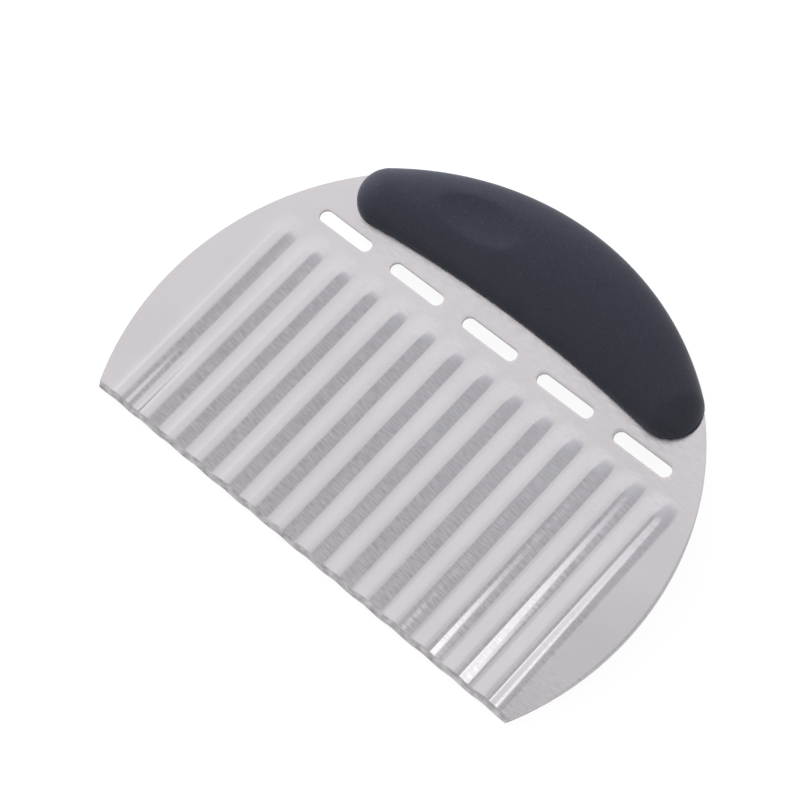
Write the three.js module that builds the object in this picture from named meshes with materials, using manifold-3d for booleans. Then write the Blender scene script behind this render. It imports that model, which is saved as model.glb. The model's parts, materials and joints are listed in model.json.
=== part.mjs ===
// Crinkle cutter: a corrugated steel blade with a bevelled edge, clamped in a soft-grip handle.
//
// All sizes are millimetres. The pieces are made flat: X runs along the cutting edge, Y from the edge to
// the handle and Z out of the front face, with z = 0 halfway through the steel sheet. The finished cutter
// is then laid on its back, where it rests on the handle and on the cutting edge, with +Z up.
import * as THREE from "three";
import { mergeVertices } from "three/addons/utils/BufferGeometryUtils.js";
import Module from "manifold-3d";

// Blade
const BLADE_RADIUS = 80;
const EDGE_DROP = 36.4; // from the round outline's centre down to the cutting edge
const SHEET = 1;
const EDGE_THICKNESS = 0.2;
const BEVEL_HEIGHT = 1.4;

// Ridges, pressed towards the front
const RIDGE_COUNT = 14;
const RIDGE_DEPTH = 1.1;
const RIDGE_MARGIN = 2.3; // flat steel left beside the outer ridges at the cutting edge
const RIDGE_RUN_OUT = 4; // length over which a ridge sinks back into the sheet
const FLAT_BAND = 16.7; // flat steel from the ends of the ridges to the middle of the handle

// Slots in the flat band
const SLOT_COUNT = 5;
const SLOT_PITCH = 25.7;
const SLOT_LENGTH = 18;
const SLOT_WIDTH = 3.9;

// Handle
const HANDLE_LENGTH = 114.4;
const HANDLE_END_RADIUS = 8.8;
const HANDLE_ARCH = 3; // the lower edge rises this far between the ends
const HANDLE_THICKNESS = 16;
const HANDLE_OVERHANG = 0.3; // the handle's ends reach this far past the blade's round outline
const HANDLE_TOP_INSET = 1.4; // the handle's top stays this far inside that outline
const HANDLE_FULLNESS = 2.3; // exponent of the oval cross-section, where 2 is an ellipse
const SKIN = 2.4;
const CORE_RIM = 2.5; // where the two core halves meet, around the tang
const CLEARANCE = 0.3;

// Thumb dimple on the front
const DIMPLE_OFFSET = 22.5; // left of the middle
const DIMPLE_LENGTH = 25;
const DIMPLE_WIDTH = 17.1;
const DIMPLE_FLOOR = 1.4; // skin left under the dimple's deepest point
const DIMPLE_BALL_HEIGHT = 4.5; // half the height of the ellipsoid that cuts it

// Two-part rivets through the core and the tang
const RIVET_COUNT = 3;
const RIVET_PITCH = 30;
const RIVET_POST_DIAMETER = 3;
const RIVET_SLEEVE_WALL = 0.9;
const RIVET_HEAD_DIAMETER = 9;
const RIVET_HEAD_HEIGHT = 1.3;
const RIVET_COVER = 0.8; // from a rivet's head up to the top of the core

// Facets
const STEPS_PER_RIDGE = 8;
const RUN_OUT_STEPS = 4;
const ARC_SAG = 0.02; // the most that a straight facet strays from the arc it stands for
const DIMPLE_SIDES = 28;
const HANDLE_ARC_STEPS = 22;
const HANDLE_END_STEPS = 8;
const HANDLE_RING_STEPS = 5;
const RIVET_SIDES = 20;
const MERGE_DISTANCE = 1e-4;

const wasm = await Module();
wasm.setup();

// Outline of the handle: a top arc, two end arcs and a lower arc, each tangent to the next.
const bladeCentreY = EDGE_DROP;
const handleTopY = bladeCentreY + BLADE_RADIUS - HANDLE_TOP_INSET;
const endX = HANDLE_LENGTH / 2 - HANDLE_END_RADIUS;
const endReach = BLADE_RADIUS + HANDLE_OVERHANG - HANDLE_END_RADIUS;
const endY = bladeCentreY + Math.sqrt(endReach ** 2 - endX ** 2);
const handleLowY = endY - HANDLE_END_RADIUS + HANDLE_ARCH;
const topArc = arcThrough(handleTopY, -1);
const lowArc = arcThrough(handleLowY, 1);
const spineMidY = (handleTopY + handleLowY) / 2;
const spineRise = spineMidY - endY;
const spineRadius = (endX ** 2 + spineRise ** 2) / (2 * spineRise);
const spineCentreY = spineMidY - spineRadius;
const ridgeEndY = handleLowY - FLAT_BAND;
const ridgeFieldHalf = Math.sqrt(BLADE_RADIUS ** 2 - EDGE_DROP ** 2) - RIDGE_MARGIN;
const ridgePitch = (2 * ridgeFieldHalf) / RIDGE_COUNT;
const tangInset = SKIN + CORE_RIM + 2 * CLEARANCE;
const rivetSleeveRadius = RIVET_POST_DIAMETER / 2 + CLEARANCE + RIVET_SLEEVE_WALL;
const coreHeight = HANDLE_THICKNESS / 2 - SKIN - CLEARANCE;
const rivetSeatZ = coreHeight - RIVET_COVER - RIVET_HEAD_HEIGHT;

// The circle centred on the middle line that passes through midY there and touches the end arcs:
// sense -1 holds them inside it, sense 1 leaves them outside and above it.
function arcThrough(midY, sense) {
  const rise = endY - midY;
  const gap = sense * HANDLE_END_RADIUS - rise;
  const radius = (endX ** 2 + rise ** 2 - HANDLE_END_RADIUS ** 2) / (2 * gap);
  const centreY = midY - radius;
  return { radius: Math.abs(radius), centreY, angle: Math.atan2(endY - centreY, endX) };
}

function spineY(x) {
  return spineCentreY + Math.sqrt(spineRadius ** 2 - x ** 2);
}

// A closed geometry as a solid: shared points are merged, and triangles that shrink to a line are dropped.
function solidOf(geometry) {
  geometry.deleteAttribute("normal");
  geometry.deleteAttribute("uv");
  const merged = mergeVertices(geometry, MERGE_DISTANCE);
  const index = merged.index.array;
  const kept = [];
  for (let i = 0; i < index.length; i += 3) {
    const [a, b, c] = index.slice(i, i + 3);
    if (a !== b && b !== c && c !== a) kept.push(a, b, c);
  }
  return new wasm.Manifold(
    new wasm.Mesh({
      numProp: 3,
      vertProperties: new Float32Array(merged.attributes.position.array),
      triVerts: new Uint32Array(kept),
    }),
  );
}

function pieceOf(name, solid, material) {
  const { vertProperties, triVerts } = solid.getMesh();
  const geometry = new THREE.BufferGeometry();
  geometry.setAttribute("position", new THREE.BufferAttribute(vertProperties, 3));
  geometry.setIndex(new THREE.BufferAttribute(triVerts, 1));
  geometry.computeVertexNormals();
  const mesh = new THREE.Mesh(geometry, material);
  mesh.name = name;
  return mesh;
}

function geometryOf(points, triangles) {
  const geometry = new THREE.BufferGeometry().setFromPoints(points);
  geometry.setIndex(triangles);
  return geometry;
}

// Points along an arc, both ends included.
function arcPoints(x, y, radius, from, to) {
  const widest = 2 * Math.acos(1 - ARC_SAG / radius);
  const steps = Math.ceil(Math.abs(to - from) / widest);
  const points = [];
  for (let i = 0; i <= steps; i++) {
    const angle = THREE.MathUtils.lerp(from, to, i / steps);
    points.push(new THREE.Vector2(x + radius * Math.cos(angle), y + radius * Math.sin(angle)));
  }
  return points;
}

// The same points on the other side of the middle line, in the order that carries on round an outline.
function mirrored(points) {
  return points.map(({ x, y }) => new THREE.Vector2(-x, y)).reverse();
}

function plate(outline, lowZ, highZ) {
  const shape = new THREE.Shape(outline);
  const options = { depth: highZ - lowZ, bevelEnabled: false };
  return solidOf(new THREE.ExtrudeGeometry(shape, options).translate(0, 0, lowZ));
}

function slab(width, y0, y1, z0, z1) {
  const box = new THREE.BoxGeometry(width, y1 - y0, z1 - z0);
  return solidOf(box.translate(0, (y0 + y1) / 2, (z0 + z1) / 2));
}

// A round rod along Z.
function rod(x, y, radius, z0, z1) {
  const cylinder = new THREE.CylinderGeometry(radius, radius, z1 - z0, RIVET_SIDES);
  return solidOf(cylinder.rotateX(Math.PI / 2).translate(x, y, (z0 + z1) / 2));
}

// Height of the ridges' middle surface over the flat sheet, with its slopes along X and Y.
function ridgeAt(x, y) {
  const turn = (2 * Math.PI) / ridgePitch;
  const inField = Math.abs(x) < ridgeFieldHalf;
  const wave = inField ? (1 - Math.cos(turn * (x + ridgeFieldHalf))) / 2 : 0;
  const waveSlope = inField ? (turn * Math.sin(turn * (x + ridgeFieldHalf))) / 2 : 0;
  const run = THREE.MathUtils.clamp((ridgeEndY - y) / RIDGE_RUN_OUT, 0, 1);
  const fade = run * run * (3 - 2 * run);
  const fadeSlope = (-6 * run * (1 - run)) / RIDGE_RUN_OUT;
  return {
    height: RIDGE_DEPTH * wave * fade,
    slopeX: RIDGE_DEPTH * waveSlope * fade,
    slopeY: RIDGE_DEPTH * wave * fadeSlope,
  };
}

// A point of the sheet, offset square to its middle surface.
function sheetPoint(x, y, offset) {
  const { height, slopeX, slopeY } = ridgeAt(x, y);
  const out = new THREE.Vector3(-slopeX, -slopeY, 1).normalize();
  return new THREE.Vector3(x, y, height).addScaledVector(out, offset);
}

// The corrugated sheet before it is trimmed: a front and a rear grid, closed round the border.
function corrugatedSheet() {
  const half = BLADE_RADIUS + SHEET;
  const fieldSteps = RIDGE_COUNT * STEPS_PER_RIDGE;
  const columns = [-half];
  for (let i = 0; i <= fieldSteps; i++) columns.push(ridgeFieldHalf * ((2 * i) / fieldSteps - 1));
  columns.push(half);
  const rows = [0, BEVEL_HEIGHT];
  for (let i = RUN_OUT_STEPS; i >= 0; i--) rows.push(ridgeEndY - (RIDGE_RUN_OUT * i) / RUN_OUT_STEPS);
  rows.push(handleTopY + SHEET);

  const points = [];
  const faces = [];
  const at = (side, row, column) => (side * rows.length + row) * columns.length + column;
  const quad = (a, b, c, d) => faces.push(a, b, c, a, c, d);
  for (const side of [0, 1]) {
    rows.forEach((y, row) => {
      const ground = row === 0 ? EDGE_THICKNESS - SHEET / 2 : SHEET / 2;
      const offset = side === 0 ? -SHEET / 2 : ground;
      columns.forEach((x) => points.push(sheetPoint(x, y, offset)));
    });
  }
  const lastRow = rows.length - 1;
  const lastColumn = columns.length - 1;
  for (let row = 0; row < lastRow; row++) {
    for (let column = 0; column < lastColumn; column++) {
      const next = column + 1;
      quad(at(1, row, column), at(1, row, next), at(1, row + 1, next), at(1, row + 1, column));
      quad(at(0, row, column), at(0, row + 1, column), at(0, row + 1, next), at(0, row, next));
    }
    const up = row + 1;
    quad(at(0, row, lastColumn), at(0, up, lastColumn), at(1, up, lastColumn), at(1, row, lastColumn));
    quad(at(0, row, 0), at(1, row, 0), at(1, up, 0), at(0, up, 0));
  }
  for (let column = 0; column < lastColumn; column++) {
    const next = column + 1;
    quad(at(0, 0, column), at(0, 0, next), at(1, 0, next), at(1, 0, column));
    quad(at(0, lastRow, column), at(1, lastRow, column), at(1, lastRow, next), at(0, lastRow, next));
  }
  return solidOf(geometryOf(points, faces));
}

// Where the blade's round outline enters the handle's end, and the way from there to the end's centre.
function shoulder() {
  const reach = Math.hypot(endX, endY - bladeCentreY);
  const cosine = (reach ** 2 + BLADE_RADIUS ** 2 - HANDLE_END_RADIUS ** 2) / (2 * reach * BLADE_RADIUS);
  const angle = Math.atan2(endY - bladeCentreY, endX) - Math.acos(cosine);
  const point = new THREE.Vector2(Math.cos(angle), Math.sin(angle)).multiplyScalar(BLADE_RADIUS);
  point.y += bladeCentreY;
  return { angle, point, inward: new THREE.Vector2(endX, endY).sub(point).normalize() };
}

// The right-hand half of the tang's outline, from its shoulder up to the middle line, grown by a clearance.
function tangHalf(grow) {
  const { inward } = shoulder();
  const endRadius = HANDLE_END_RADIUS - tangInset + grow;
  const start = Math.atan2(-inward.y, -inward.x) + Math.asin(grow / endRadius);
  const topRadius = topArc.radius - tangInset + grow;
  return [
    ...arcPoints(endX, endY, endRadius, start, topArc.angle).slice(0, -1),
    ...arcPoints(0, topArc.centreY, topRadius, topArc.angle, Math.PI / 2),
  ];
}

function bladeOutline() {
  const below = -Math.asin((EDGE_DROP + SHEET) / BLADE_RADIUS);
  const side = arcPoints(0, bladeCentreY, BLADE_RADIUS, below, shoulder().angle);
  const right = [...side, ...tangHalf(0)];
  return [...right, ...mirrored(right.slice(0, -1))];
}

// The room that the blade takes in the handle: the tang and its shoulders, open downwards.
function bladeRoom() {
  const { point, inward } = shoulder();
  const aside = new THREE.Vector2(inward.y, -inward.x).multiplyScalar(CLEARANCE);
  const outside = point.clone().addScaledVector(inward, -HANDLE_END_RADIUS).add(aside);
  const right = [
    new THREE.Vector2(HANDLE_LENGTH, ridgeEndY),
    new THREE.Vector2(HANDLE_LENGTH, outside.y),
    outside,
    ...tangHalf(CLEARANCE),
  ];
  const outline = [...right, ...mirrored(right.slice(0, -1))];
  return plate(outline, -SHEET / 2 - CLEARANCE, SHEET / 2 + CLEARANCE);
}

function slotOutline(x, y) {
  const radius = SLOT_WIDTH / 2;
  const reach = SLOT_LENGTH / 2 - radius;
  return [
    ...arcPoints(x + reach, y, radius, -Math.PI / 2, Math.PI / 2),
    ...arcPoints(x - reach, y, radius, Math.PI / 2, (3 * Math.PI) / 2),
  ];
}

function rivetPlaces() {
  const places = [];
  for (let i = 0; i < RIVET_COUNT; i++) {
    const x = (i - (RIVET_COUNT - 1) / 2) * RIVET_PITCH;
    places.push(new THREE.Vector2(x, spineY(x)));
  }
  return places;
}

function bladeSolid() {
  const through = RIDGE_DEPTH + SHEET;
  let blade = corrugatedSheet().intersect(plate(bladeOutline(), -through, through + SHEET));
  const slotY = (ridgeEndY + handleLowY) / 2;
  for (let i = 0; i < SLOT_COUNT; i++) {
    const x = (i - (SLOT_COUNT - 1) / 2) * SLOT_PITCH;
    blade = blade.subtract(plate(slotOutline(x, slotY), -through, through));
  }
  for (const { x, y } of rivetPlaces()) {
    blade = blade.subtract(rod(x, y, rivetSleeveRadius + CLEARANCE, -through, through));
  }
  return blade;
}

// The handle's outline, inset all round, each point with its place on the handle's middle line.
function handleOutline(inset) {
  const stations = [];
  const spineHalf = Math.asin(endX / spineRadius);
  const spine = (share) => {
    const angle = spineHalf * (1 - 2 * share);
    const x = spineRadius * Math.sin(angle);
    return new THREE.Vector2(x, spineCentreY + spineRadius * Math.cos(angle));
  };
  const add = (centreX, centreY, radius, angle, middle) => {
    const edge = new THREE.Vector2(Math.cos(angle), Math.sin(angle)).multiplyScalar(radius);
    stations.push({ edge: edge.add(new THREE.Vector2(centreX, centreY)), middle });
  };
  const between = THREE.MathUtils.lerp;
  const endRadius = HANDLE_END_RADIUS - inset;
  const turn = lowArc.angle - Math.PI;
  for (let i = 0; i < HANDLE_END_STEPS; i++) {
    const angle = between(turn, topArc.angle, i / HANDLE_END_STEPS);
    add(endX, endY, endRadius, angle, spine(0));
  }
  for (let i = 0; i < HANDLE_ARC_STEPS; i++) {
    const share = i / HANDLE_ARC_STEPS;
    const angle = between(topArc.angle, Math.PI - topArc.angle, share);
    add(0, topArc.centreY, topArc.radius - inset, angle, spine(share));
  }
  for (let i = 0; i < HANDLE_END_STEPS; i++) {
    const angle = between(Math.PI - topArc.angle, Math.PI - turn, i / HANDLE_END_STEPS);
    add(-endX, endY, endRadius, angle, spine(1));
  }
  for (let i = 0; i < HANDLE_ARC_STEPS; i++) {
    const share = i / HANDLE_ARC_STEPS;
    const angle = between(Math.PI - lowArc.angle, lowArc.angle, share);
    add(0, lowArc.centreY, lowArc.radius + inset, angle, spine(1 - share));
  }
  return stations;
}

// The handle's full oval form, inset all round: rings from the rear middle line out to the rim and back.
function handleForm(inset) {
  const stations = handleOutline(inset);
  const height = HANDLE_THICKNESS / 2 - inset;
  const count = stations.length;
  const points = [];
  const faces = [];
  for (let ring = -HANDLE_RING_STEPS; ring <= HANDLE_RING_STEPS; ring++) {
    const angle = (Math.PI / 2) * (ring / HANDLE_RING_STEPS);
    const atSpine = Math.abs(ring) === HANDLE_RING_STEPS;
    const spread = atSpine ? 0 : Math.cos(angle) ** (2 / HANDLE_FULLNESS);
    const rise = Math.sign(ring) * Math.abs(Math.sin(angle)) ** (2 / HANDLE_FULLNESS);
    for (const { edge, middle } of stations) {
      const place = middle.clone().lerp(edge, spread);
      points.push(new THREE.Vector3(place.x, place.y, height * rise));
    }
  }
  for (let ring = 0; ring < 2 * HANDLE_RING_STEPS; ring++) {
    for (let i = 0; i < count; i++) {
      const here = ring * count + i;
      const next = ring * count + ((i + 1) % count);
      faces.push(here, next, next + count, here, next + count, here + count);
    }
  }
  return solidOf(geometryOf(points, faces));
}

// The dimple's tool: an ellipsoid that cuts an oval of the dimple's size and depth.
function dimpleTool() {
  const depth = SKIN - DIMPLE_FLOOR;
  const widen = 1 / Math.sqrt(1 - (1 - depth / DIMPLE_BALL_HEIGHT) ** 2);
  const ball = new THREE.SphereGeometry(1, DIMPLE_SIDES, DIMPLE_SIDES / 2).rotateX(Math.PI / 2);
  ball.scale((DIMPLE_LENGTH / 2) * widen, (DIMPLE_WIDTH / 2) * widen, DIMPLE_BALL_HEIGHT);
  const centreZ = HANDLE_THICKNESS / 2 - depth + DIMPLE_BALL_HEIGHT;
  return solidOf(ball.translate(-DIMPLE_OFFSET, spineY(DIMPLE_OFFSET), centreZ));
}

function gripSolid() {
  return handleForm(0).subtract(handleForm(SKIN)).subtract(bladeRoom()).subtract(dimpleTool());
}

// One half of the core: side 1 is the front, side -1 the rear.
function coreSolid(side) {
  const far = HANDLE_THICKNESS;
  const [z0, z1] = side > 0 ? [CLEARANCE / 2, far] : [-far, -CLEARANCE / 2];
  let core = handleForm(SKIN + CLEARANCE).intersect(slab(2 * HANDLE_LENGTH, 0, 2 * handleTopY, z0, z1));
  core = core.subtract(bladeRoom());
  const seat = rivetSeatZ - CLEARANCE;
  const [headLow, headHigh] = side > 0 ? [seat, far] : [-far, -seat];
  for (const { x, y } of rivetPlaces()) {
    core = core.subtract(rod(x, y, rivetSleeveRadius + CLEARANCE, -far, far));
    core = core.subtract(rod(x, y, RIVET_HEAD_DIAMETER / 2 + CLEARANCE, headLow, headHigh));
  }
  return core;
}

// A turned piece along Z from its profile of radius and height.
function turned(profile, { x, y }) {
  const outline = profile.map(([radius, z]) => new THREE.Vector2(radius, z));
  const lathe = new THREE.LatheGeometry(outline, RIVET_SIDES);
  return solidOf(lathe.rotateX(Math.PI / 2).translate(x, y, 0));
}

// The post drops in from the front, and its shank runs down the sleeve.
function rivetPost(place) {
  const shank = RIVET_POST_DIAMETER / 2;
  const head = RIVET_HEAD_DIAMETER / 2;
  const top = rivetSeatZ + RIVET_HEAD_HEIGHT;
  const profile = [
    [0, -rivetSeatZ],
    [shank, -rivetSeatZ],
    [shank, rivetSeatZ],
    [head, rivetSeatZ],
    [head, top],
    [0, top],
  ];
  return turned(profile, place);
}

// The sleeve comes in from the rear and stops short of the post's head.
function rivetSleeve(place) {
  const bore = RIVET_POST_DIAMETER / 2 + CLEARANCE;
  const head = RIVET_HEAD_DIAMETER / 2;
  const bottom = -rivetSeatZ - RIVET_HEAD_HEIGHT;
  const floor = -rivetSeatZ - CLEARANCE;
  const mouth = rivetSeatZ - CLEARANCE;
  const profile = [
    [0, bottom],
    [head, bottom],
    [head, -rivetSeatZ],
    [rivetSleeveRadius, -rivetSeatZ],
    [rivetSleeveRadius, mouth],
    [bore, mouth],
    [bore, floor],
    [0, floor],
  ];
  return turned(profile, place);
}

const steel = new THREE.MeshStandardMaterial({ color: 0xcac5c9, metalness: 1, roughness: 0.36 });
const grip = new THREE.MeshStandardMaterial({ color: 0x37383e, metalness: 0, roughness: 0.72 });
const plastic = new THREE.MeshStandardMaterial({ color: 0x1f2023, metalness: 0, roughness: 0.5 });
const rivetMetal = new THREE.MeshStandardMaterial({ color: 0xb8b2a6, metalness: 1, roughness: 0.3 });

const cutter = new THREE.Group();
cutter.add(pieceOf("blade", bladeSolid(), steel));
cutter.add(pieceOf("core_front", coreSolid(1), plastic));
cutter.add(pieceOf("core_rear", coreSolid(-1), plastic));
const soft = pieceOf("soft_grip", gripSolid(), grip);
cutter.add(soft);
rivetPlaces().forEach((place, i) => {
  cutter.add(pieceOf(`rivet_post_${i + 1}`, rivetPost(place), rivetMetal));
  cutter.add(pieceOf(`rivet_sleeve_${i + 1}`, rivetSleeve(place), rivetMetal));
});

// Lay the cutter on its back: tilt it about the cutting edge until the handle's rear meets the same plane.
const handlePoints = soft.geometry.attributes.position;
let restTilt = 0;
for (let i = 0; i < handlePoints.count; i++) {
  const fall = -(handlePoints.getZ(i) + SHEET / 2);
  restTilt = Math.max(restTilt, Math.atan2(fall, handlePoints.getY(i)));
}
cutter.rotation.x = restTilt;
const root = new THREE.Group();
root.add(cutter);
root.updateMatrixWorld(true);
const reach = new THREE.Box3().setFromObject(cutter, true);
const middle = reach.getCenter(new THREE.Vector3());
cutter.position.set(-middle.x, -middle.y, -reach.min.z);

export default root;
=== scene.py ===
"""Crinkle cutter: a corrugated steel blade in a soft-grip handle, lying on its back on a white floor.

Shapes are worked out in millimetres on the flat cutter: x along the cutting edge, y from the edge to the
handle and z out of the front face, with z = 0 halfway through the steel sheet. Then they are laid on the
floor.
"""
import json
import math

import bmesh
import bpy
import numpy as np
from mathutils import Matrix, Vector


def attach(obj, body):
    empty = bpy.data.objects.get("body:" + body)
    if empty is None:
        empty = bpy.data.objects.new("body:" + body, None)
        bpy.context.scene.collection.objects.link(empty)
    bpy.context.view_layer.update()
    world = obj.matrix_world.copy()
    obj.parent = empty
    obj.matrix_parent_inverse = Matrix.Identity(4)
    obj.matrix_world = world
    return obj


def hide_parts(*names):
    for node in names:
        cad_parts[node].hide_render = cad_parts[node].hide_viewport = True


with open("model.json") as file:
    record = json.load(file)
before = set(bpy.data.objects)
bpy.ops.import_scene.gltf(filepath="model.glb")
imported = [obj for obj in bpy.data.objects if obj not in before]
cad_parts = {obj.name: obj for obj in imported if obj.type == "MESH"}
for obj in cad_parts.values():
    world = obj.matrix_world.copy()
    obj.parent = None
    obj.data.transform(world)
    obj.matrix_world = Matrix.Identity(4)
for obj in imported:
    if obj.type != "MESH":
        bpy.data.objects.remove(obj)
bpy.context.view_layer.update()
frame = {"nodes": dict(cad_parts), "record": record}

MM = 0.001

# Blade
BLADE_RADIUS = 80
EDGE_DROP = 36.4
SHEET = 1
EDGE_THICKNESS = 0.2
BEVEL_HEIGHT = 1.4
SHEAR_ROUND = 0.12
FACE_RADIUS = BLADE_RADIUS - SHEAR_ROUND

# Handle
HANDLE_LENGTH = 114.4
HANDLE_END_RADIUS = 8.8
HANDLE_ARCH = 3
HANDLE_THICKNESS = 16
HANDLE_OVERHANG = 0.3
HANDLE_TOP_INSET = 1.4
HANDLE_FULLNESS = 2.3
SKIN = 2.4
TANG_INSET = 5.5
LIP_GAP = 0.1
LIP_HEIGHT = SHEET / 2 + LIP_GAP
LIP_ROUND = 0.45
PARTING_DEPTH = 0.1
PARTING_WIDTH = 0.16

# Thumb dimple
DIMPLE_OFFSET = 22.5
DIMPLE_LENGTH = 25
DIMPLE_WIDTH = 17.1
DIMPLE_DEPTH = 1
DIMPLE_BALL_HEIGHT = 4.5
DIMPLE_SOFTNESS = 0.2

# Ridges: bends and flats are shares of the way from valley to crest,
# and the crest's place and the foot's length are shares of the pitch
RIDGE_COUNT = 14
RIDGE_DEPTH = 1.1
RIDGE_FALL_OFF = 0.15
RIDGE_FLAT = 0.04
VALLEY_BEND = 0.2
CREST_PLACE = 0.4625
CREST_BEND = 0.25
FLANK_GAIN = 0.12
FLANK_BEND = (0.35, 0.2)
RIDGE_FOOT = 0.45
RIDGE_MARGIN = 2.3
RIDGE_RUN_OUT = 7.5
RIDGE_OVERRUN = 3.8

# Slots and rivet holes
FLAT_BAND = 16.7
SLOT_COUNT = 5
SLOT_PITCH = 25.7
SLOT_LENGTH = 18
SLOT_WIDTH = 3.9
SLOT_BAND = 8.4
RIVET_COUNT = 3
RIVET_PITCH = 30
RIVET_HOLE_RADIUS = 3
HOLE_BAND = (0.49, 0.83)  # shares of the tang's height between which the rivet holes lie

# Finishes: painted lines along the first ridges, a painted highlight and a painted crease shade, give x,
# half width, reach from the edge, colour and dulling
PAINTED_RIDGE_LINES = (
    # painted highlight: a white, duller line down the first ridge's falling slope
    (-61.58, 0.7, 23, (1, 0.98, 1), 0.32),
    # painted shade: a dark line standing in for a crease on the second ridge's rising slope
    (-57.14, 0.5, 19, (0.25, 0.243, 0.25), 0),
)
LINE_RELIEF = 0.02
GRAIN_RELIEF = 0.1
NOISE_SPAN = (0.3, 0.7)
EDGE_FACING = 0.5  # faces that look out of the sheet by less than this are its sheared edges

# Floor and surround
FLOOR_SIZE = 6000
FLOOR_DROP = 0.1
FLOOR_GLOW = 0.9
FLOOR_COLOUR = 0.12
AMBIENT = 0.9

# Cards over the set: their reach along x and y, their glow,
# and ramps that change it evenly between two places by a gain
ROOF_HEIGHT = 900
DARK_CARD = (-140, 460)
DARK_CARD_DEPTH = (60, 1300)
DARK_CARD_COLOUR = (0.50, 0.516, 0.53)
DARK_CARD_GLOW = 0.6
DARK_CARD_RAMPS = (
    ((0, 60), (0, 700), 1.1),
    ((-20, 0), (-140, 0), 0.4),
)
PALE_CARD = (-2700, -140)
PALE_CARD_DEPTH = (-60, 1200)
PALE_CARD_GLOW = 0.905
PALE_CARD_RAMPS = (
    ((-1600, 0), (-2100, 0), 0.11),
    ((0, 280), (0, 450), 0.14),
    ((-225, 205), (-168, 130), -0.5),
)
STRIP_CORNERS = ((108, -200), (189, -200), (189, 125), (133.5, 125))
STRIP_HEIGHT = 300
STRIP_GLOW = 1.7
STRIP_RAMPS = (((148, 0), (167, 0), -0.75),)
WHITE = (1, 1, 1)

# Upright cards and lamps
FRONT_CARD = (-900, 900)
FRONT_CARD_PLACE = -600
FRONT_CARD_HEIGHTS = (60, 600)
FRONT_CARD_GLOW = 0.5
BACK_CARD = (-1100, 100)
BACK_CARD_PLACE = 1000
BACK_CARD_HEIGHTS = (80, 900)
BACK_CARD_GLOW = 1.2
RIM_LAMP_PLACE = (-530, 530, 100)
RIM_LAMP_SIZE = (500, 150)
RIM_LAMP_BRIGHTNESS = 31
END_LAMP_PLACE = (-150, 95, 80)
END_LAMP_SIZE = (80, 80)
END_LAMP_BRIGHTNESS = 10.5

# Camera, with degrees of roll
CAMERA_PLACE = (222.25, -102.3, 553.1)
CAMERA_TARGET = (-6.55, 47.3, 0)
CAMERA_ROLL = -7.68
CAMERA_LENS = 108
CAMERA_SENSOR = 36

# Grid steps
COLUMNS_PER_SLOT = 100
SIDE_COLUMNS = 12
FIELD_ROW = 3.0
RUN_OUT_ROW = 0.5
BAND_ROWS = 8
TANG_ROWS = 4
OPENING_STEPS = 4
SHEAR_STEPS = 3
SHOULDER_STATIONS = 8
HANDLE_ARC_STEPS = 160
HANDLE_END_STEPS = 22
HANDLE_RING_STEPS = 40
LIP_STEPS = 6

# Angles in degrees past which an edge is sharp, and distances within which points are one
BLADE_SHARP_ANGLE = 24
GRIP_SHARP_ANGLE = 40
MERGE_DISTANCE = 1e-4
REPEAT_DISTANCE = 1e-6


def tangent_arc(mid_y, sense):
    """The circle on the middle line through mid_y that touches both end arcs.

    Gives its radius, the height of its centre and the angle at which it touches.
    """
    rise = END_Y - mid_y
    gap = sense * HANDLE_END_RADIUS - rise
    radius = (END_X**2 + rise**2 - HANDLE_END_RADIUS**2) / (2 * gap)
    centre = mid_y - radius
    return abs(radius), centre, math.atan2(END_Y - centre, END_X)


# The handle's outline: a top arc, two end arcs and a lower arc
HANDLE_TOP = EDGE_DROP + BLADE_RADIUS - HANDLE_TOP_INSET
END_X = HANDLE_LENGTH / 2 - HANDLE_END_RADIUS
END_REACH = BLADE_RADIUS + HANDLE_OVERHANG - HANDLE_END_RADIUS
END_Y = EDGE_DROP + math.sqrt(END_REACH**2 - END_X**2)
HANDLE_LOW = END_Y - HANDLE_END_RADIUS + HANDLE_ARCH
TOP_RADIUS, TOP_CENTRE, TOP_ANGLE = tangent_arc(HANDLE_TOP, -1)
LOW_RADIUS, LOW_CENTRE, LOW_ANGLE = tangent_arc(HANDLE_LOW, 1)
SPINE_MID = (HANDLE_TOP + HANDLE_LOW) / 2
SPINE_RISE = SPINE_MID - END_Y
SPINE_RADIUS = (END_X**2 + SPINE_RISE**2) / (2 * SPINE_RISE)
SPINE_CENTRE = SPINE_MID - SPINE_RADIUS

# The ridge field, whose outermost slopes are drawn out from their middle on, and the bands above it
RIDGE_END = HANDLE_LOW - FLAT_BAND
RIDGE_TOP = RIDGE_END + RIDGE_OVERRUN
FIELD_HALF = math.sqrt(BLADE_RADIUS**2 - EDGE_DROP**2) - RIDGE_MARGIN
RIDGE_PITCH = 2 * FIELD_HALF / RIDGE_COUNT
HALF_SLOPE = RIDGE_PITCH / 4
SLOPE_MIDDLE = FIELD_HALF - HALF_SLOPE
FOOT_LENGTH = RIDGE_FOOT * RIDGE_PITCH
SLOT_Y = (RIDGE_END + HANDLE_LOW) / 2
BAND_LOW = SLOT_Y - SLOT_BAND / 2
BAND_HIGH = SLOT_Y + SLOT_BAND / 2
SLOTS_HALF = SLOT_COUNT * SLOT_PITCH / 2

# Where the blade's round outline enters the handle's end
SHOULDER_COSINE = (END_REACH**2 + BLADE_RADIUS**2 - HANDLE_END_RADIUS**2) / (2 * END_REACH * BLADE_RADIUS)
SHOULDER_ANGLE = math.atan2(END_Y - EDGE_DROP, END_X) - math.acos(SHOULDER_COSINE)
SHOULDER_X = BLADE_RADIUS * math.cos(SHOULDER_ANGLE)
SHOULDER_Y = BLADE_RADIUS * math.sin(SHOULDER_ANGLE) + EDGE_DROP
SLIT_ANGLE = math.atan2(SHOULDER_Y - END_Y, SHOULDER_X - END_X)


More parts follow.
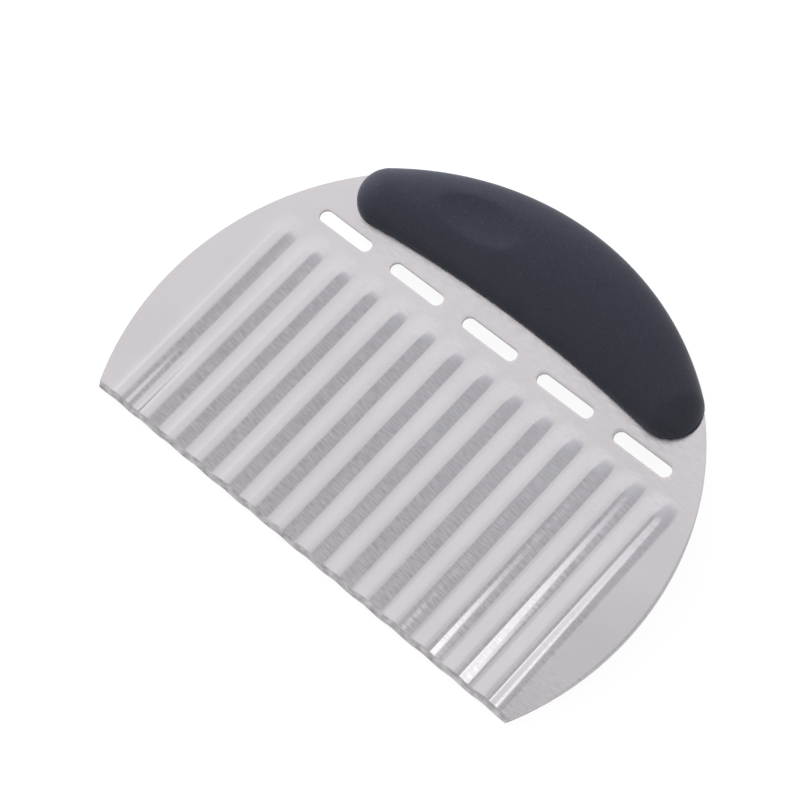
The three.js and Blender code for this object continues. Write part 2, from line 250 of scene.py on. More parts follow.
def listed(items, key):
    """A place or direction of all vertices or faces, as an array with one row for each."""
    values = np.empty(3 * len(items))
    items.foreach_get(key, values)
    return values.reshape(-1, 3)


# The flat cutter's place on the floor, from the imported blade: its lean, its cutting edge and its rear face
front_axis = next(m["axis"] for m in frame["record"]["mounts"] if m["name"] == "blade_front_flat")
lean = np.array(Matrix.Rotation(math.atan2(-front_axis[1], front_axis[2]), 3, "X"))
corner = (listed(frame["nodes"]["blade"].data.vertices, "co") @ lean).min(axis=0) / MM
flat_origin = np.array([0, corner[1], corner[2] + SHEET / 2])


def laid(flat):
    """Places on the floor, in metres, of points of the flat cutter: leaned about x and shifted."""
    return (np.asarray(flat, float) + flat_origin) @ lean.T * MM


def unlaid(places):
    """The flat cutter's millimetres of places on the floor, in metres."""
    return places @ lean / MM - flat_origin


# Grids and pieces

def arc(centre_x, centre_y, radius, start, end, steps):
    """Points on a circle from one angle to another at even steps, both ends included."""
    angle = np.linspace(start, end, steps + 1)
    return np.stack([centre_x + radius * np.cos(angle), centre_y + radius * np.sin(angle)], axis=-1)


def between(low, high, share):
    """Points at each share of the straight way from low to high."""
    return low + (high - low) * share


def grid_faces(rows, columns, first):
    """Corner numbers of the four-sided faces of a grid whose points are numbered by rows from first on."""
    number = first + np.arange(rows * columns).reshape(rows, columns)
    corners = [number[:-1, :-1], number[:-1, 1:], number[1:, 1:], number[1:, :-1]]
    return np.stack(corners, axis=-1).reshape(-1, 4)


def piece_of(name, grids, sharp_angle):
    """A closed piece from grids of points of the flat cutter.

    Edges that coincide are joined, and the faces are turned outwards.
    """
    points = []
    faces = []
    for grid in grids:
        first = sum(len(p) for p in points)
        faces.append(grid_faces(grid.shape[0], grid.shape[1], first))
        points.append(grid.reshape(-1, 3))
    mesh = bpy.data.meshes.new(name)
    mesh.from_pydata(laid(np.concatenate(points)), [], np.concatenate(faces))
    shell = bmesh.new()
    shell.from_mesh(mesh)
    bmesh.ops.remove_doubles(shell, verts=shell.verts, dist=MERGE_DISTANCE * MM)
    bmesh.ops.recalc_face_normals(shell, faces=shell.faces)
    shell.to_mesh(mesh)
    shell.free()
    mesh.shade_smooth()
    mesh.set_sharp_from_angle(angle=math.radians(sharp_angle))
    piece = bpy.data.objects.new(name, mesh)
    bpy.context.scene.collection.objects.link(piece)
    return piece


# Blade

def bent(share, start, bend):
    """A line that is level up to start and slopes evenly after a soft bend, with its slope."""
    turned = np.clip((share - start) / bend, 0, 1)
    line = bend * (turned**3 - turned**4 / 2) + np.maximum(share - start - bend, 0)
    return line, turned**2 * (3 - 2 * turned)


def ridges(x, y):
    """Height of the sheet's middle surface, with its slopes along x and y.

    Across the ridges the height rises from valley to crest: level, a bend, a slope that gets a little
    steeper half way up, a bend and level again. That is a sum of bent lines. The way down is the same
    mirrored but longer, because the crest lies a little left of the ridge's middle. The height is also
    multiplied by a smooth step that sinks to the flat sheet over the run-out at the ridges' upper ends, and
    the depth falls off a little from the cutting edge upwards. On the outermost slopes the way across slows
    down evenly from the middle of the slope on, which draws out the foot.
    """
    slowing = FOOT_LENGTH / HALF_SLOPE
    rest = 1 - np.clip((np.abs(x) - SLOPE_MIDDLE) / FOOT_LENGTH, 0, 1)
    across = np.sign(x) * (np.minimum(np.abs(x), SLOPE_MIDDLE) + (1 - rest**slowing) * HALF_SLOPE)
    way = (across + FIELD_HALF) / RIDGE_PITCH % 1
    rising = way < CREST_PLACE
    share = np.where(rising, way / CREST_PLACE, (1 - way) / (1 - CREST_PLACE))
    speed = np.where(rising, 1 / CREST_PLACE, -1 / (1 - CREST_PLACE)) * rest ** (slowing - 1) / RIDGE_PITCH
    bends = (
        (1 - FLANK_GAIN, RIDGE_FLAT, VALLEY_BEND),
        (FLANK_GAIN, *FLANK_BEND),
        (-1, 1 - RIDGE_FLAT - CREST_BEND, CREST_BEND),
    )
    full = sum(gain * (1 - start - bend / 2) for gain, start, bend in bends)
    lines = [(gain, *bent(share, start, bend)) for gain, start, bend in bends]
    wave = sum(gain * line for gain, line, _ in lines) / full
    wave_slope = sum(gain * slope for gain, _, slope in lines) / full * speed
    run = np.clip((RIDGE_TOP - y) / RIDGE_RUN_OUT, 0, 1)
    fall_off = 1 - RIDGE_FALL_OFF * y / RIDGE_TOP
    sink = run**2 * (3 - 2 * run) * fall_off
    sink_slope = -6 * run * (1 - run) / RIDGE_RUN_OUT * fall_off
    sink_slope -= run**2 * (3 - 2 * run) * RIDGE_FALL_OFF / RIDGE_TOP
    return RIDGE_DEPTH * wave * sink, RIDGE_DEPTH * wave_slope * sink, RIDGE_DEPTH * wave * sink_slope


def pressed(flat, offset):
    """Points of the pressed sheet: flat points raised to the ridges, then moved by offset square to them."""
    height, slope_x, slope_y = ridges(flat[..., 0], flat[..., 1])
    normal = np.stack([-slope_x, -slope_y, np.ones_like(height)], axis=-1)
    normal /= np.linalg.norm(normal, axis=-1, keepdims=True)
    middle = np.concatenate([flat, height[..., None]], axis=-1)
    return middle + normal * np.broadcast_to(offset, height.shape)[..., None]


def front_offset(y):
    """The front face's distance from the sheet's middle: half the sheet, less the bevel's even fall."""
    return SHEET / 2 - (SHEET - EDGE_THICKNESS) * np.clip(1 - y / BEVEL_HEIGHT, 0, 1)


def half_width(y):
    """Half the width of the blade's round face at height y."""
    return np.sqrt(FACE_RADIUS**2 - (y - EDGE_DROP) ** 2)


def sheet_grid(y):
    """The flat sheet between its round sides, one row of points for each height y.

    Columns stand still across the slots and out to the last ridge, then spread evenly to the round outline.
    Above the ridges the columns beyond the slots draw in with the outline.
    """
    y = y[:, None]
    step = SLOT_PITCH / COLUMNS_PER_SLOT
    foot = SLOPE_MIDDLE + FOOT_LENGTH
    middle = np.linspace(-SLOTS_HALF, SLOTS_HALF, SLOT_COUNT * COLUMNS_PER_SLOT + 1)
    ribbed = np.linspace(SLOTS_HALF, foot, round((foot - SLOTS_HALF) / step) + 1)[1:]
    low_width = half_width(np.minimum(y, RIDGE_TOP))
    flat = between(foot, low_width, np.linspace(0, 1, SIDE_COLUMNS + 1)[1:])
    side = np.concatenate([np.broadcast_to(ribbed, (len(y), len(ribbed))), flat], axis=1)
    side = between(SLOTS_HALF, side, (half_width(y) - SLOTS_HALF) / (low_width - SLOTS_HALF))
    x = np.concatenate([-side[:, ::-1], np.broadcast_to(middle, (len(y), len(middle))), side], axis=1)
    return np.stack([x, np.broadcast_to(y, x.shape)], axis=-1)


def perimeter(block):
    """The points round a block of a grid, anticlockwise from its lower left corner, closed."""
    return np.concatenate([block[0], block[1:, -1], block[-1, -2::-1], block[-2::-1, 0]])


def opening(border, centre, reach, radius):
    """Sheet round a slot or hole: straight lines from the nearest point of its rim to each border point."""
    along = np.clip(border[:, 0] - centre[0], -reach, reach)
    foot = np.stack([centre[0] + along, np.full_like(along, centre[1])], axis=-1)
    away = border - foot
    rim = foot + radius * away / np.linalg.norm(away, axis=-1, keepdims=True)
    return between(rim, border, np.linspace(0, 1, OPENING_STEPS + 1)[:, None, None])


def pierced(band, openings):
    """A band of the sheet as grids: plain blocks, and a block for each opening. Gives the rims too."""
    grids = []
    rims = []
    start = 0
    for first, last, centre, reach, radius in openings:
        grids.append(band[:, start : first + 1])
        ring = opening(perimeter(band[:, first : last + 1]), centre, reach, radius)
        grids.append(ring)
        rims.append(ring[0])
        start = last
    grids.append(band[:, start:])
    return [g for g in grids if g.shape[1] > 1], rims


def slot_openings(band):
    """The slots' places in their band: column span, centre, half the straight part's length, and radius."""
    first = np.argmin(np.abs(band[0, :, 0] + SLOTS_HALF))
    radius = SLOT_WIDTH / 2 + SHEAR_ROUND
    reach = SLOT_LENGTH / 2 - SLOT_WIDTH / 2
    for i in range(SLOT_COUNT):
        start = first + i * COLUMNS_PER_SLOT
        x = (i - (SLOT_COUNT - 1) / 2) * SLOT_PITCH
        yield start, start + COLUMNS_PER_SLOT, (x, SLOT_Y), reach, radius


def spine_y(x):
    """Height of the handle's middle line, an arc between the centres of its ends."""
    return SPINE_CENTRE + np.sqrt(SPINE_RADIUS**2 - x**2)


def rivet_openings(band):
    """The rivet holes' places in the tang's middle band, in the same form as the slots'."""
    half = 2 * RIVET_HOLE_RADIUS
    for i in range(RIVET_COUNT):
        x = (i - (RIVET_COUNT - 1) / 2) * RIVET_PITCH
        first = np.argmin(np.abs(band[0, :, 0] - x + half))
        last = np.argmin(np.abs(band[0, :, 0] - x - half))
        yield first, last, (x, spine_y(x)), 0, RIVET_HOLE_RADIUS


def tang_top(x):
    """Height of the tang's upper outline: the handle's top arc and end arcs, both inset."""
    inset_end = HANDLE_END_RADIUS - TANG_INSET
    inset_top = TOP_RADIUS - TANG_INSET
    on_end = END_Y + np.sqrt(np.maximum(inset_end**2 - (np.abs(x) - END_X) ** 2, 0))
    on_top = TOP_CENTRE + np.sqrt(inset_top**2 - x**2)
    return np.where(np.abs(x) > END_X + inset_end * math.cos(TOP_ANGLE), on_end, on_top)


def tang_grids(base):
    """The sheet above the slots: a middle that fills the tang, and shoulders that taper to points."""
    root = END_X + (HANDLE_END_RADIUS - TANG_INSET) * math.cos(SLIT_ANGLE)
    first = np.argmin(np.abs(base[:, 0] + root))
    last = len(base) - 1 - first
    x = base[first : last + 1, 0]
    top = tang_top(x)
    share = np.linspace(0, 1, TANG_ROWS + 1)[:, None]
    grids = []
    for low, high in ((0, HOLE_BAND[0]), HOLE_BAND, (HOLE_BAND[1], 1)):
        y = between(BAND_HIGH, top, between(low, high, share))
        grids.append(np.stack([np.broadcast_to(x, y.shape), y], axis=-1))
    inner = np.concatenate([grids[0][:, -1], grids[1][1:, -1], grids[2][1:, -1]])
    start = math.asin((BAND_HIGH - EDGE_DROP) / FACE_RADIUS)
    outer = arc(0, EDGE_DROP, FACE_RADIUS, start, SHOULDER_ANGLE, len(inner) - 1)
    across = (base[last:, 0] - base[last, 0]) / (base[-1, 0] - base[last, 0])
    right = between(inner[:, None], outer[:, None], across[:, None])
    left = right[:, ::-1] * (-1, 1)
    return grids, left, right


def sheared_edge(loop):
    """The sheet's edge along a closed loop with the steel on its left: two rounded corners, front to rear.

    The corners' radius falls to nothing at the cutting edge, where the front comes down the bevel.
    """
    along = np.roll(loop, -1, axis=0) - np.roll(loop, 1, axis=0)
    along /= np.linalg.norm(along, axis=-1, keepdims=True)
    outward = np.stack([along[:, 1], -along[:, 0]], axis=-1)
    y = loop[:, 1]
    radius = SHEAR_ROUND * np.clip(y / BEVEL_HEIGHT, 0, 1)
    rows = []
    for offset, side in ((front_offset(y), 1), (np.full_like(y, -SHEET / 2), -1)):
        for angle in np.linspace(0, math.pi / 2, SHEAR_STEPS + 1)[::side]:
            out = loop + outward * (radius * math.sin(angle))[:, None]
            rows.append(pressed(out, offset - side * radius * (1 - math.cos(angle))))
    rows = np.stack(rows)
    return np.concatenate([rows, rows[:, :1]], axis=1)


def without_repeats(loop):
    """The loop with points that repeat the one before left out."""
    step = np.linalg.norm(loop - np.roll(loop, 1, axis=0), axis=-1)
    return loop[step > REPEAT_DISTANCE]


def blade_piece():
    """The blade: one pressed sheet with slots, rivet holes, a bevelled edge and sheared, rounded sides."""
    full = RIDGE_TOP - RIDGE_RUN_OUT
    field_rows = np.concatenate([
        [0],
        np.linspace(BEVEL_HEIGHT, full, round(full / FIELD_ROW)),
        np.linspace(full, RIDGE_TOP, round(RIDGE_RUN_OUT / RUN_OUT_ROW))[1:],
        np.linspace(RIDGE_TOP, BAND_LOW, math.ceil((BAND_LOW - RIDGE_TOP) / RUN_OUT_ROW) + 1)[1:],
    ])
    field = sheet_grid(field_rows)
    band = sheet_grid(np.linspace(BAND_LOW, BAND_HIGH, BAND_ROWS + 1))
    slotted, slot_rims = pierced(band, slot_openings(band))
    (low_tang, hole_band, high_tang), left, right = tang_grids(band[-1])
    drilled, hole_rims = pierced(hole_band, rivet_openings(hole_band))
    flats = [field, *slotted, low_tang, *drilled, high_tang, left, right]
    outline = np.concatenate([
        field[0], field[:, -1], band[:, -1], right[:, -1], right[-1, ::-1],
        high_tang[-1, ::-1], left[-1, ::-1], left[::-1, 0], band[::-1, 0], field[::-1, 0],
    ])
    loops = [outline, *(rim[::-1] for rim in slot_rims + hole_rims)]
    grids = [pressed(flat, front_offset(flat[..., 1])) for flat in flats]
    grids += [pressed(flat, -SHEET / 2) for flat in flats]
    grids += [sheared_edge(without_repeats(loop)) for loop in loops]
    return piece_of("blade_sheet", grids, BLADE_SHARP_ANGLE)


# Handle

def grip_stations(inset):
    """Points round the handle's outline, inset, anticlockwise from the right shoulder.

    Gives the points, their points on the middle line, and which of them lie along the slit.
    """
    end = HANDLE_END_RADIUS - inset
    upper = arc(END_X, END_Y, end, SLIT_ANGLE, TOP_ANGLE, HANDLE_END_STEPS)
    lower = arc(END_X, END_Y, end, LOW_ANGLE - math.pi, SLIT_ANGLE, 2 * HANDLE_END_STEPS)
    top = arc(0, TOP_CENTRE, TOP_RADIUS - inset, TOP_ANGLE, math.pi - TOP_ANGLE, HANDLE_ARC_STEPS)
    low = arc(0, LOW_CENTRE, LOW_RADIUS + inset, math.pi - LOW_ANGLE, LOW_ANGLE, HANDLE_ARC_STEPS)
    half = math.asin(END_X / SPINE_RADIUS)
    spine = arc(0, SPINE_CENTRE, SPINE_RADIUS, math.pi / 2 - half, math.pi / 2 + half, HANDLE_ARC_STEPS)
    mirror = np.array([-1, 1])
    runs = [
        (upper, np.broadcast_to(spine[0], upper.shape)),
        (top, spine),
        (upper[::-1] * mirror, np.broadcast_to(spine[-1], upper.shape)),
        (lower[::-1] * mirror, np.broadcast_to(spine[-1], lower.shape)),
        (low, spine[::-1]),
        (lower, np.broadcast_to(spine[0], lower.shape)),
    ]
    edge = np.concatenate([run[:-1] for run, _ in runs])
    middle = np.concatenate([line[:-1] for _, line in runs])
    slit = np.arange(len(edge)) >= 2 * HANDLE_END_STEPS + HANDLE_ARC_STEPS
    return edge, middle, slit


def section(edge, middle, height, z):
    """Places on the handle's oval section at heights z: a superellipse from the rim to the middle line."""
    share = np.clip(np.abs(z) / height, 0, 1)
    spread = (1 - share**HANDLE_FULLNESS) ** (1 / HANDLE_FULLNESS)
    return between(middle, edge, spread[..., None])


def dimpled(points):
    """The handle's front with its thumb dimple: the lower of the crown and an ellipsoid, softened."""
    widen = 1 / math.sqrt(1 - (1 - DIMPLE_DEPTH / DIMPLE_BALL_HEIGHT) ** 2)
    across = (points[..., 0] + DIMPLE_OFFSET) / (DIMPLE_LENGTH / 2 * widen)
    up = (points[..., 1] - spine_y(DIMPLE_OFFSET)) / (DIMPLE_WIDTH / 2 * widen)
    inside = np.clip(1 - across**2 - up**2, 0, 1)
    centre = HANDLE_THICKNESS / 2 - DIMPLE_DEPTH + DIMPLE_BALL_HEIGHT
    bowl = centre - DIMPLE_BALL_HEIGHT * np.sqrt(inside)
    crown = points[..., 2]
    gap = bowl - crown
    made = points.copy()
    made[..., 2] = (crown + bowl - np.sqrt(gap**2 + DIMPLE_SOFTNESS**2)) / 2
    made[..., 2] = np.where(inside > 0, made[..., 2], crown)
    return made


def skin_rings(inset, heights):
    """Closed rings of points round the handle, inset, on its oval section at each of the heights."""
    edge, middle, _ = grip_stations(inset)
    z = np.broadcast_to(heights[:, None], (len(heights), len(edge)))
    flat = section(edge, middle, HANDLE_THICKNESS / 2 - inset, z)
    rings = np.concatenate([flat, z[..., None]], axis=-1)
    return np.concatenate([rings, rings[:, :1]], axis=1)


def drawn_in(rings):
    """The outer skin's lowest rings with their details: points move straight in towards the middle line.

    Along the slit the lip turns in on a quarter circle, which fades out at the shoulders. On the closed
    stretch the parting line is a groove with straight sides, which fades out there too.
    """
    edge, middle, slit = grip_stations(0)
    inward = middle - edge
    inward /= np.linalg.norm(inward, axis=-1, keepdims=True)
    stations = np.arange(len(edge))
    slit_start = np.flatnonzero(slit)[0]
    from_shoulder = np.minimum(np.abs(stations - slit_start), np.minimum(stations, len(edge) - stations))
    fade = np.clip(from_shoulder / SHOULDER_STATIONS, 0, 1)
    off_middle = np.abs(rings[:, :-1, 2])
    short = LIP_ROUND - np.clip(off_middle - LIP_HEIGHT, 0, LIP_ROUND)
    lip = LIP_ROUND - np.sqrt(LIP_ROUND**2 - short**2)
    groove = PARTING_DEPTH * np.clip(1 - off_middle / PARTING_WIDTH, 0, 1)
    depth = np.where(slit, lip, groove) * fade
    made = rings.copy()
    made[:, :-1, :2] += inward * depth[..., None]
    made[:, -1] = made[:, 0]
    return made


def grip_piece():
    """The soft grip: an outer and an inner oval skin, joined round the slit where the blade comes out."""
    slit = grip_stations(0)[2]
    closed = np.flatnonzero(slit)[0] + 1
    turn = np.linspace(0, math.pi / 2, LIP_STEPS + 1)
    lip_levels = LIP_HEIGHT + LIP_ROUND * (1 - np.cos(turn))
    seam_levels = np.array([LIP_HEIGHT, PARTING_WIDTH, 0, -PARTING_WIDTH, -LIP_HEIGHT])
    grids = []
    strips = []
    lips = []
    for inset in (0, SKIN):
        height = HANDLE_THICKNESS / 2 - inset
        start = math.asin((lip_levels[-1] / height) ** (HANDLE_FULLNESS / 2))
        angle = np.linspace(start, math.pi / 2, HANDLE_RING_STEPS + 1)
        levels = np.concatenate([lip_levels, height * np.sin(angle[1:]) ** (2 / HANDLE_FULLNESS)])
        front = skin_rings(inset, levels)
        rear = skin_rings(inset, -levels)
        strip = skin_rings(inset, seam_levels)
        if inset == 0:
            front = dimpled(drawn_in(front))
            rear = drawn_in(rear)
            strip = drawn_in(strip)
        grids += [front, rear, strip[:, :closed]]
        strips.append(strip)
        lips.append((front[0], rear[0]))
    for outer, inner in zip(*lips):
        grids.append(np.stack([outer[closed - 1 :], inner[closed - 1 :]]))
    for station in (0, closed - 1):
        grids.append(np.stack([strip[:, station] for strip in strips]))
    return piece_of("grip_skin", grids, GRIP_SHARP_ANGLE)


# Finishes

def join(tree, made, inputs):
    """Sets a shader node's inputs to values, or joins them to other nodes' outputs."""
    for key, value in inputs.items():
        if isinstance(value, bpy.types.NodeSocket):
            tree.links.new(value, made.inputs[key])
        else:
            made.inputs[key].default_value = value


def node(tree, kind, inputs=None, **settings):
    """A new shader node with its settings and inputs."""
    made = tree.nodes.new(kind)
    for key, value in settings.items():
        setattr(made, key, value)
    join(tree, made, inputs or {})
    return made


def combined(tree, kind, first, second, operation):
    """The outputs of a node that makes one value or vector from two."""
    return node(tree, kind, {0: first, 1: second}, operation=operation).outputs


def finish_of(name):
    """A new material, its node tree and its surface shader."""
    material = bpy.data.materials.new(name)
    material.use_nodes = True
    tree = material.node_tree
    return material, tree, tree.nodes["Principled BSDF"]


def own_place(tree):
    """The place on the piece itself, in metres."""
    return node(tree, "ShaderNodeTexCoord").outputs["Object"]


def noise(tree, waves, detail=2, roughness=0.5):
    """Noise on the piece's own place, with its own number of waves per metre along each axis."""
    turned = node(tree, "ShaderNodeMapping", {"Vector": own_place(tree), "Scale": waves}).outputs[0]
    inputs = {"Vector": turned, "Scale": 1, "Detail": detail, "Roughness": roughness}
    return node(tree, "ShaderNodeTexNoise", inputs).outputs["Fac"]


def ranged(tree, value, to, span=NOISE_SPAN):
    """A value brought from its span into the range between the two ends of to."""
    inputs = {"Value": value, "From Min": span[0], "From Max": span[1], "To Min": to[0], "To Max": to[1]}
    return node(tree, "ShaderNodeMapRange", inputs).outputs[0]


def opaque(colour):
    """A colour with full cover, or the output that gives it."""
    return colour if isinstance(colour, bpy.types.NodeSocket) else (*colour, 1)


def blended(tree, share, low, high):
    """A colour between two others."""
    inputs = {0: share, 6: opaque(low), 7: opaque(high)}
    return node(tree, "ShaderNodeMix", inputs, data_type="RGBA").outputs[2]


def mottled(tree, pattern, low, high):
    """A colour that a noise pattern varies between two others."""
    return blended(tree, ranged(tree, pattern, (0, 1)), low, high)


def relief(tree, pattern, strength, depth):
    """The surface direction of a pattern in relief, with its depth in millimetres."""
    inputs = {"Height": pattern, "Strength": strength, "Distance": depth * MM}
    return node(tree, "ShaderNodeBump", inputs).outputs[0]


def marked(tree, place, half, reach):
    """1 on a line along a ridge at x = place, fading to 0 on both sides and from the cutting edge up."""
    axes = node(tree, "ShaderNodeSeparateXYZ", {0: own_place(tree)}).outputs
    offset = combined(tree, "ShaderNodeMath", axes[0], place * MM, "SUBTRACT")[0]
    aside = node(tree, "ShaderNodeMath", {0: offset}, operation="ABSOLUTE").outputs[0]
    near = ranged(tree, aside, (1, 0), (0, half * MM))
    low = ranged(tree, axes[1], (1, 0), (laid((0, 0, 0))[1], laid((0, reach, 0))[1]))
    return combined(tree, "ShaderNodeMath", near, low, "MULTIPLY")[0]


def steel_finish():
    """Stainless steel brushed along the cutting edge: fine lines, soft clouds, and a painted highlight line
    and a painted shade line on the first ridges.
    """
    material, tree, surface = finish_of("brushed_steel")
    lines = noise(tree, (340, 2700, 0), detail=1)
    clouds = noise(tree, (45, 45, 0))
    colour = mottled(tree, clouds, (0.645, 0.615, 0.645), (0.68, 0.65, 0.68))
    roughness = ranged(tree, lines, (0.145, 0.235), (0.36, 0.64))
    # painted highlight and painted shade lines: each blends the steel's colour towards a white or a dark
    # line colour
    for place, half, reach, painted_line_colour, dulling in PAINTED_RIDGE_LINES:
        share = marked(tree, place, half, reach)
        colour = blended(tree, share, colour, painted_line_colour)
        inputs = {0: share, 1: dulling, 2: roughness}
        roughness = node(tree, "ShaderNodeMath", inputs, operation="MULTIPLY_ADD").outputs[0]
    tangent = node(tree, "ShaderNodeTangent", direction_type="UV_MAP", uv_map="across_grain")
    join(tree, surface, {
        "Base Color": colour,
        "Metallic": 1,
        "Roughness": roughness,
        "Anisotropic": 1,
        "Tangent": tangent.outputs[0],
        "Normal": relief(tree, lines, 0.03, LINE_RELIEF),
    })
    return material


def ground_finish():
    """The ground bevel: steel with fine lines along the edge and patches of light and dark, on a colour kept
    darker than the brushed steel as a painted reflection of the dark front that the bevel faces.
    """
    material, tree, surface = finish_of("ground_steel")
    lines = noise(tree, (260, 4200, 0))
    patches = noise(tree, (420, 900, 0))
    join(tree, surface, {
        # darker base colour: painted reflection of the dark front; the patches between its two ends are tone
        # that varies at random
        "Base Color": mottled(tree, patches, (0.31, 0.30, 0.31), (0.55, 0.53, 0.55)),
        "Metallic": 1,
        "Roughness": ranged(tree, lines, (0.22, 0.42)),
        "Normal": relief(tree, lines, 0.3, LINE_RELIEF),
    })
    return material


def sheared_finish():
    """The sheet's sheared edges: darker steel with short lines through the sheet."""
    material, tree, surface = finish_of("sheared_steel")
    lines = noise(tree, (1500, 1500, 200))
    join(tree, surface, {
        "Base Color": mottled(tree, lines, (0.32, 0.31, 0.32), (0.42, 0.405, 0.42)),
        "Metallic": 1,
        "Roughness": 0.45,
    })
    return material


def rubber_finish():
    """Soft-touch rubber: blue-black and matte, with a fine moulded grain, paler specks and a soft sheen."""
    material, tree, surface = finish_of("soft_rubber")
    grain = noise(tree, (2400, 2400, 2400), detail=3, roughness=0.6)
    clouds = noise(tree, (120, 120, 120), detail=3)
    specks = ranged(tree, grain, (0, 1), (0.5, 0.78))
    join(tree, surface, {
        "Base Color": blended(tree, specks, (0.0152, 0.0162, 0.0262), (0.030, 0.032, 0.0465)),
        "Roughness": ranged(tree, clouds, (0.52, 0.62)),
        "Specular IOR Level": 0.28,
        "Sheen Weight": 0.12,
        "Sheen Roughness": 0.35,
        "Sheen Tint": (0.8, 0.82, 1, 1),
        "Normal": relief(tree, grain, 0.4, GRAIN_RELIEF),
    })
    return material


def plastic_finish():
    """The core's black moulded plastic, with a faint flow mottle."""
    material, tree, surface = finish_of("core_plastic")
    mottle = noise(tree, (400, 400, 400), detail=3)
    join(tree, surface, {
        "Base Color": mottled(tree, mottle, (0.012, 0.013, 0.015), (0.018, 0.019, 0.021)),
        "Roughness": ranged(tree, mottle, (0.4, 0.55)),
    })
    return material


def rivet_finish():
    """Turned rivet steel with fine tool lines round the axis."""
    material, tree, surface = finish_of("rivet_steel")
    lines = noise(tree, (300, 300, 6000))
    join(tree, surface, {
        "Base Color": mottled(tree, lines, (0.45, 0.42, 0.36), (0.52, 0.49, 0.43)),
        "Metallic": 1,
        "Roughness": ranged(tree, lines, (0.25, 0.4)),
    })
    return material


def map_grain(mesh):
    """Gives the blade a map whose first axis runs across the grain: the flat cutter's y, then its x."""
    flat = unlaid(listed(mesh.vertices, "co"))
    corners = np.empty(len(mesh.loops), np.int32)
    mesh.loops.foreach_get("vertex_index", corners)
    across_grain = mesh.uv_layers.new(name="across_grain")
    across_grain.data.foreach_set("uv", (flat[corners][:, 1::-1] * MM).ravel())


def finish_blade(mesh):
    """Gives the blade brushed steel, with ground steel on its bevel and sheared steel on its edges."""
    facing = (listed(mesh.polygons, "normal") @ lean)[:, 2]
    low = unlaid(listed(mesh.polygons, "center"))[:, 1] < BEVEL_HEIGHT
    on_bevel = low & (facing > EDGE_FACING)
    on_edge = np.abs(facing) < EDGE_FACING
    for finish in (steel_finish, ground_finish, sheared_finish):
        mesh.materials.append(finish())
    mesh.polygons.foreach_set("material_index", (on_bevel + 2 * on_edge).astype(np.int32))


# Pieces in place

blade = blade_piece()
map_grain(blade.data)
finish_blade(blade.data)
grip = grip_piece()
grip.data.materials.append(rubber_finish())

for piece, slot_name, cad_node in ((blade, "blade_steel", "blade"), (grip, "grip_rubber", "soft_grip")):
    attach(piece, "root")
    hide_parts(cad_node)

core_plastic = plastic_finish()
rivet_steel = rivet_finish()
for name, cad_piece in frame["nodes"].items():
    if name.startswith(("core", "rivet")):
        cad_piece.data.materials.clear()
        cad_piece.data.materials.append(core_plastic if name.startswith("core") else rivet_steel)


# Studio

def oblong(span, depth):
    """Corners of an oblong from its reach along its two axes."""
    left, right = span
    near, far = depth
    return (left, near), (right, near), (right, far), (left, far)


def stage_quad(name, corners):
    """A flat four-cornered piece of the stage, with its material's node tree and surface shader."""
    mesh = bpy.data.meshes.new(name)
    mesh.from_pydata(corners, [], [(0, 1, 2, 3)])
    made = bpy.data.objects.new(name, mesh)
    bpy.context.scene.collection.objects.link(made)
    material, tree, surface = finish_of(name)
    mesh.materials.append(material)
    return made, tree, surface


def white_floor():
    """A white floor that keeps the cutter's shadow: part glow, part lit surface."""
    reach = (-FLOOR_SIZE / 2 * MM, FLOOR_SIZE / 2 * MM)
    corners = [(x, y, -FLOOR_DROP * MM) for x, y in oblong(reach, reach)]
    _, tree, surface = stage_quad("floor", corners)
    join(tree, surface, {
        "Base Color": (FLOOR_COLOUR, FLOOR_COLOUR, FLOOR_COLOUR, 1),
        "Roughness": 1,
        "Specular IOR Level": 0,
        "Emission Color": opaque(WHITE),
        "Emission Strength": FLOOR_GLOW,
    })


def card(name, corners, colour, glow):
    """A glowing card beside the set, which the camera doesn't see."""
    made, tree, surface = stage_quad(name, laid(corners))
    made.visible_camera = False
    join(tree, surface, {
        "Base Color": (0, 0, 0, 1),
        "Specular IOR Level": 0,
        "Emission Color": opaque(colour),
        "Emission Strength": glow,
    })
    return made, tree, surface


def level_card(name, corners, height, colour, glow, ramps):
    """A level card over the set, whose glow each ramp changes evenly between two places by a gain."""
    made, tree, surface = card(name, [(x, y, height) for x, y in corners], colour, glow)
    place = own_place(tree)
    for start, end, gain in ramps:
        first = laid((*start, height))
        way = laid((*end, height)) - first
        offset = combined(tree, "ShaderNodeVectorMath", place, first, "SUBTRACT")[0]
        along = combined(tree, "ShaderNodeVectorMath", offset, way / (way @ way), "DOT_PRODUCT")["Value"]
        rise = ranged(tree, along, (0, gain), (0, 1))
        glow = combined(tree, "ShaderNodeMath", glow, rise, "ADD")[0]
    join(tree, surface, {"Emission Strength": glow})
    return made


def wall_card(name, span, place, heights, glow):
    """An upright card across the set, in front of it or behind it, which the steel doesn't mirror."""
    made, _, _ = card(name, [(x, place, z) for x, z in oblong(span, heights)], WHITE, glow)
    made.visible_glossy = False


def lamp(name, place, aim, size, brightness):
    """A soft lamp that faces aim, with the given brightness of its face, which the steel doesn't mirror."""
    light = bpy.data.lights.new(name, "AREA")
    light.shape = "RECTANGLE"
    light.size = size[0] * MM
    light.size_y = size[1] * MM
    light.energy = brightness * math.pi * light.size * light.size_y
    made = bpy.data.objects.new(name, light)
    made.location = laid(place)
    way = Vector(laid(aim)) - Vector(laid(place))
    made.rotation_euler = way.to_track_quat("-Z", "Y").to_euler()
    made.visible_camera = False
    made.visible_glossy = False
    bpy.context.scene.collection.objects.link(made)


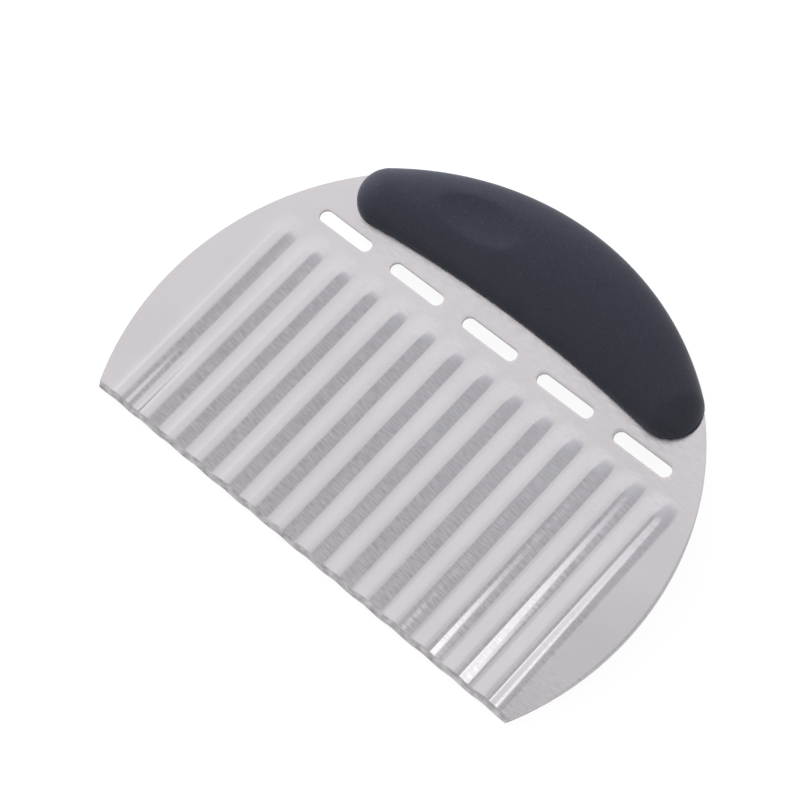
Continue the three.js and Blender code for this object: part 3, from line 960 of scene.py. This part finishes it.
def sees_background(tree):
    """1 for rays from the camera, from mirrors and through glass, which see the white background."""
    ray = node(tree, "ShaderNodeLightPath").outputs
    seen = ray["Is Camera Ray"]
    for also in ("Is Glossy Ray", "Is Transmission Ray"):
        seen = combined(tree, "ShaderNodeMath", seen, ray[also], "MAXIMUM")[0]
    return seen


def studio_world():
    """A white surround, a little dimmer for the light that it gives."""
    world = bpy.data.worlds.new("surround")
    world.use_nodes = True
    tree = world.node_tree
    strength = ranged(tree, sees_background(tree), (AMBIENT, 1), (0, 1))
    join(tree, tree.nodes["Background"], {"Color": opaque(WHITE), "Strength": strength})
    bpy.context.scene.world = world


def camera():
    """The photograph's viewpoint."""
    data = bpy.data.cameras.new("camera")
    data.lens = CAMERA_LENS
    data.sensor_width = CAMERA_SENSOR
    made = bpy.data.objects.new("camera", data)
    place = Vector(laid(CAMERA_PLACE))
    look = (Vector(laid(CAMERA_TARGET)) - place).to_track_quat("-Z", "Y")
    roll = Matrix.Rotation(math.radians(CAMERA_ROLL), 4, "Z")
    made.matrix_world = Matrix.Translation(place) @ look.to_matrix().to_4x4() @ roll
    bpy.context.scene.collection.objects.link(made)
    bpy.context.scene.camera = made


white_floor()
dark_corners = oblong(DARK_CARD, DARK_CARD_DEPTH)
level_card("dark_card", dark_corners, ROOF_HEIGHT, DARK_CARD_COLOUR, DARK_CARD_GLOW, DARK_CARD_RAMPS)
pale_corners = oblong(PALE_CARD, PALE_CARD_DEPTH)
level_card("pale_card", pale_corners, ROOF_HEIGHT, WHITE, PALE_CARD_GLOW, PALE_CARD_RAMPS)
strip_light = level_card("strip_light", STRIP_CORNERS, STRIP_HEIGHT, WHITE, STRIP_GLOW, STRIP_RAMPS)
strip_light.visible_diffuse = False
wall_card("front_card", FRONT_CARD, FRONT_CARD_PLACE, FRONT_CARD_HEIGHTS, FRONT_CARD_GLOW)
wall_card("back_card", BACK_CARD, BACK_CARD_PLACE, BACK_CARD_HEIGHTS, BACK_CARD_GLOW)
lamp("rim_lamp", RIM_LAMP_PLACE, (0, END_Y, 0), RIM_LAMP_SIZE, RIM_LAMP_BRIGHTNESS)
lamp("end_lamp", END_LAMP_PLACE, (-END_X, END_Y, 0), END_LAMP_SIZE, END_LAMP_BRIGHTNESS)
studio_world()
camera()
bpy.context.scene.view_settings.view_transform = "Standard"
